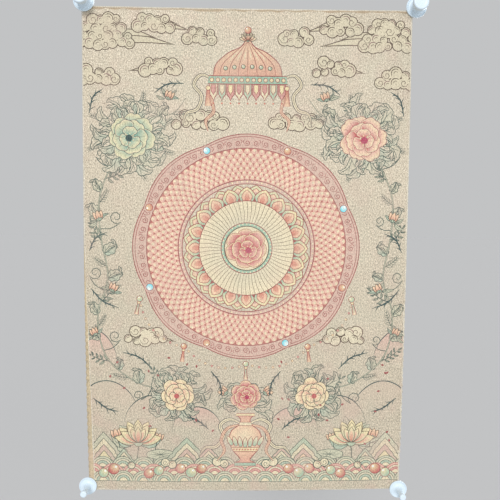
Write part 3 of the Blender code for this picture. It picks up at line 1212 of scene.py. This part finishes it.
def brocade_finish():
    """Gold-ground brocade: an upright grain of warp threads, dark flecks, and matt print over it."""
    finish = Finish("brocade", {"Roughness": 0.6, "Specular IOR Level": 0.3, "Sheen Weight": 0.12})
    ink = finish.node("VertexColor", {"layer_name": "ink"}, {})
    x, _, z = finish.place()
    bare = 1 - ink["Alpha"]
    rim_gap, behind = finish.along("rim_gap"), finish.along("behind")
    field = behind * rim_gap.step(HEM, HEM + HEM_STEP)

    # each noise takes its cells to a millimetre across and up, and a number that sets it apart
    grain = finish.noise(x * 0.62, behind * 5, z * 0.30, 2.0, 0.6)
    flecks = finish.noise(x * 0.66, 7.0, z * 0.42, 1.0).step(0.52, 0.66)
    glints = finish.noise(x * 0.70, 31.0, z * 0.46, 1.0).step(0.52, 0.66)
    streak = finish.noise(x * 0.55, 13.0, z * 0.03, 2.0)
    mottle = finish.noise(x * 0.012, 3.0, z * 0.009, 3.0)
    warp = (x * (math.tau / WARP_PITCH)).sine()
    weft = (z * (math.tau / WEFT_PITCH)).sine()

    tone = 1 + (grain - 0.5) * (1.5 + bare * 1.1) + (streak - 0.5) * (0.5 + field * 0.7)
    tone = tone + (mottle - 0.5) * 0.2 + warp * 0.02 + weft * 0.015
    # painted shade: the cloth is painted darker towards its top, fading out 300 mm down, to even out
    # the stronger light there; it is also a little darker over its lowest part
    tone = tone * (1 - z.step(-300, -40) * 0.10 - (0 - z).step(580, 820) * 0.055)
    grey = finish.node("CombineColor", {}, {"Red": tone, "Green": tone, "Blue": tone})["Color"]
    base = finish.mix(1.0, ink["Color"], grey, "MULTIPLY")
    base = finish.mix(flecks * (0.08 + bare * 0.26), base, DARK_YARN)
    # glints: the gold thread is smoother and more metallic there, and those spots are also painted
    # lighter, as painted highlights
    base = finish.mix(glints * (0.10 + bare * 0.30 - field * 0.20), base, PAINTED_GLINT)

    # faint drifts of colour, as an aged print has, the pink one stronger near the foot
    green = finish.noise(x * 0.020, 51.0, z * 0.017, 2.0).step(0.48, 0.68)
    pink = finish.noise(x * 0.022, 77.0, z * 0.019, 2.0).step(0.48, 0.68)
    base = finish.mix(green * 0.12, base, GREEN_DRIFT)
    base = finish.mix(pink * (1 + (0 - z).step(620, 840)) * 0.14, base, PINK_DRIFT)

    # the edges are handled and a little soiled
    patches = finish.noise(x * 0.05, 19.0, z * 0.05, 3.0).step(0.40, 0.62)
    base = finish.mix((1 - rim_gap.step(0.0, 9.0)) * patches * 0.16, base, SOIL)

    # on the back the medallion shows through, and slip stitches hold the hem
    up = z + (DROP / MM / 2 - MEDALLION_UP)
    from_middle = (x * x + up * up).math("SQRT")
    ring = (1 - from_middle.step(*SHOWN_RIM)) - 0.6 * (1 - from_middle.step(*SHOWN_HEART))
    base = finish.mix(field * ring * 0.14, base, SHOW_THROUGH)
    along = ((x + z) * (math.tau / STITCH_PITCH)).sine().step(-0.1, 0.1)
    row = rim_gap.step(*STITCH_ROW[:2]) - rim_gap.step(*STITCH_ROW[2:])
    stitch = behind * row * along
    base = finish.mix(stitch * 0.85, base, STITCHING)

    finish.drive("Base Color", base)
    finish.drive("Roughness", 0.66 - bare * 0.12 - glints * 0.12 + (grain - 0.5) * 0.2)
    finish.drive("Metallic", bare * 0.10 + glints * bare * 0.15)
    height = grain * 0.5 + warp * 0.12 + weft * 0.10 - flecks * 0.2 + ink["Alpha"] * 0.08
    height = height + field * streak * 0.4 + stitch * 1.5
    finish.drive("Normal", finish.bump(height, 0.35, 0.0003))
    return finish.material


def plastic_finish():
    """Smooth white moulded plastic, slightly clouded by handling."""
    finish = Finish("holder_plastic", {"Base Color": PLASTIC, "Coat Roughness": 0.2, "IOR": 1.47})
    x, y, z = finish.place()
    cloud = finish.noise(x * 0.12, y * 0.12, z * 0.12, 4.0)
    scuffs = finish.noise(x * 0.5, y * 1.6, z * 0.5, 3.0).step(0.58, 0.75)
    pits = finish.noise(x * 1.8, y * 1.8, z * 1.8, 1.0)
    clouded = scuffs * 0.10 + cloud.step(0.35, 0.8) * 0.10
    finish.drive("Base Color", finish.mix(clouded, PLASTIC, CLOUDED_PLASTIC))
    finish.drive("Roughness", 0.28 + cloud * 0.08 + scuffs * 0.12)
    finish.drive("Normal", finish.bump(pits, 0.08, 0.0002))
    return finish.material


# -------------------- the holders
def deselect_all():
    if bpy.context.mode != "OBJECT":
        bpy.ops.object.mode_set(mode="OBJECT")
    bpy.ops.object.select_all(action="DESELECT")


WIDE_PROFILE = (
    # radius, height above the foot, both in mm, from the foot to the tip
    (18.4, 0.0), (19.0, 0.6), (19.0, 2.5), (18.6, 3.3), (17.7, 3.5), (16.9, 3.1), (16.5, 2.3),
    (15.6, 1.8), (13.0, 2.0), (11.2, 3.0), (9.8, 5.0), (8.9, 8.0), (8.5, 11.5),
    (8.6, 15.4), (9.2, 17.9), (10.6, 19.2), (12.6, 19.9), (13.8, 21.2), (14.0, 23.0),
    (14.0, 28.0), (13.7, 29.6), (12.8, 30.6), (11.3, 31.0), (8.4, 30.9), (7.6, 30.4),
    (2.4, 30.3), (2.0, 30.0),
)
SLIM_PROFILE = (
    (16.5, 0.0), (17.0, 0.6), (17.0, 2.3), (16.6, 3.2), (15.8, 3.4), (15.0, 3.0), (14.6, 2.2),
    (13.6, 1.7), (10.2, 1.9), (7.4, 2.7), (5.7, 4.6), (4.7, 7.4), (4.1, 11.0),
    (4.0, 16.0), (4.1, 22.0), (4.6, 25.4), (5.6, 27.0), (6.3, 28.4), (6.5, 30.4),
    (6.4, 32.6), (5.8, 34.1), (4.6, 34.8), (3.0, 35.0), (1.5, 34.8),
)


def turned_holder(name, place, profile, finish):
    """A turned piece, drawn out ring by ring from its foot towards the front."""
    deselect_all()
    across, up = place
    foot_r = profile[0][0] * MM
    foot = -(THICK + GAP)
    bpy.ops.mesh.primitive_circle_add(
        vertices=HOLDER_SIDES, radius=foot_r, fill_type="NGON",
        location=(across, foot, up), rotation=(math.radians(90), 0, 0),
    )
    piece = bpy.context.object
    piece.name = piece.data.name = name
    bpy.ops.object.mode_set(mode="EDIT")
    bpy.ops.mesh.select_all(action="SELECT")
    for (r, height), (next_r, next_height) in zip(profile, profile[1:]):
        rise = (height - next_height) * MM
        bpy.ops.mesh.extrude_region_move(TRANSFORM_OT_translate={"value": (0, rise, 0)})
        widen = next_r / r
        bpy.ops.transform.resize(value=(widen, 1, widen))
    bpy.ops.mesh.select_all(action="DESELECT")
    bpy.ops.mesh.select_non_manifold()  # the open ring at the foot
    bpy.ops.mesh.edge_face_add()
    bpy.ops.mesh.select_all(action="SELECT")
    bpy.ops.mesh.normals_make_consistent(inside=False)
    bpy.ops.object.mode_set(mode="OBJECT")
    bpy.ops.object.transform_apply(location=True, rotation=True, scale=True)

    smoother = piece.modifiers.new("smooth", "SUBSURF")
    smoother.levels = 1
    smoother.render_levels = 1
    bpy.ops.object.modifier_apply(modifier=smoother.name)
    bpy.ops.object.shade_smooth()
    piece.data.materials.clear()
    piece.data.materials.append(finish)
    return piece


def make_holders(finish):
    """Two wide holders and two slim ones: each kind is modelled once and copied."""
    profiles = {"wide": WIDE_PROFILE, "slim": SLIM_PROFILE}
    models, made = {}, {}
    for node, (across, up, kind) in HOLDERS.items():
        name = node.replace("holder", "magnet")
        if kind not in models:
            piece = turned_holder(name, (across, up), profiles[kind], finish)
            models[kind] = (piece, across, up)
        else:
            model, from_x, from_z = models[kind]
            piece = model.copy()
            piece.data = model.data.copy()
            piece.name = piece.data.name = name
            bpy.context.collection.objects.link(piece)
            for vertex in piece.data.vertices:
                vertex.co += Vector((across - from_x, 0, up - from_z))
        made[node] = piece
    return made


# -------------------- the studio
def make_studio():
    """The floor, the air, the lamps and the camera."""
    deselect_all()
    bpy.ops.mesh.primitive_plane_add(size=FLOOR_SIZE, location=(0, 0, FLOOR_UP))
    floor = bpy.context.object
    floor.name = "studio_floor"
    matt = {"Base Color": (*FLOOR_PAINT, 1), "Roughness": 1.0, "Specular IOR Level": 0.0}
    floor.data.materials.append(Finish("studio_paint", matt).material)

    world = bpy.data.worlds.new("studio_air")
    world.use_nodes = True
    air = world.node_tree.nodes["Background"]
    air.inputs["Color"].default_value = (*AIR, 1)
    air.inputs["Strength"].default_value = AIR_STRENGTH
    bpy.context.scene.world = world

    for name, place, spread, strength, colour in LAMPS:
        light = bpy.data.lights.new(name, "SUN")
        light.angle = math.radians(spread)
        light.energy = strength
        light.color = colour
        lamp = bpy.data.objects.new(name, light)
        lamp.location = place
        lamp.rotation_euler = (-Vector(place)).to_track_quat("-Z", "Y").to_euler()
        bpy.context.collection.objects.link(lamp)

    view = bpy.data.cameras.new("camera")
    view.sensor_width = SENSOR
    view.lens = LENS
    view.clip_start = 0.05
    camera = bpy.data.objects.new("camera", view)
    camera.location = CAMERA_PLACE
    camera.rotation_euler = [math.radians(a) for a in CAMERA_TURN]
    bpy.context.collection.objects.link(camera)
    bpy.context.scene.camera = camera
    bpy.context.scene.view_settings.view_transform = "Standard"


# -------------------- putting it together
make_studio()
cloth = make_cloth(brocade_finish())
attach(cloth, "root")
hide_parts("cloth_panel")

for node, piece in make_holders(plastic_finish()).items():
    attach(piece, "root")
    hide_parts(node)
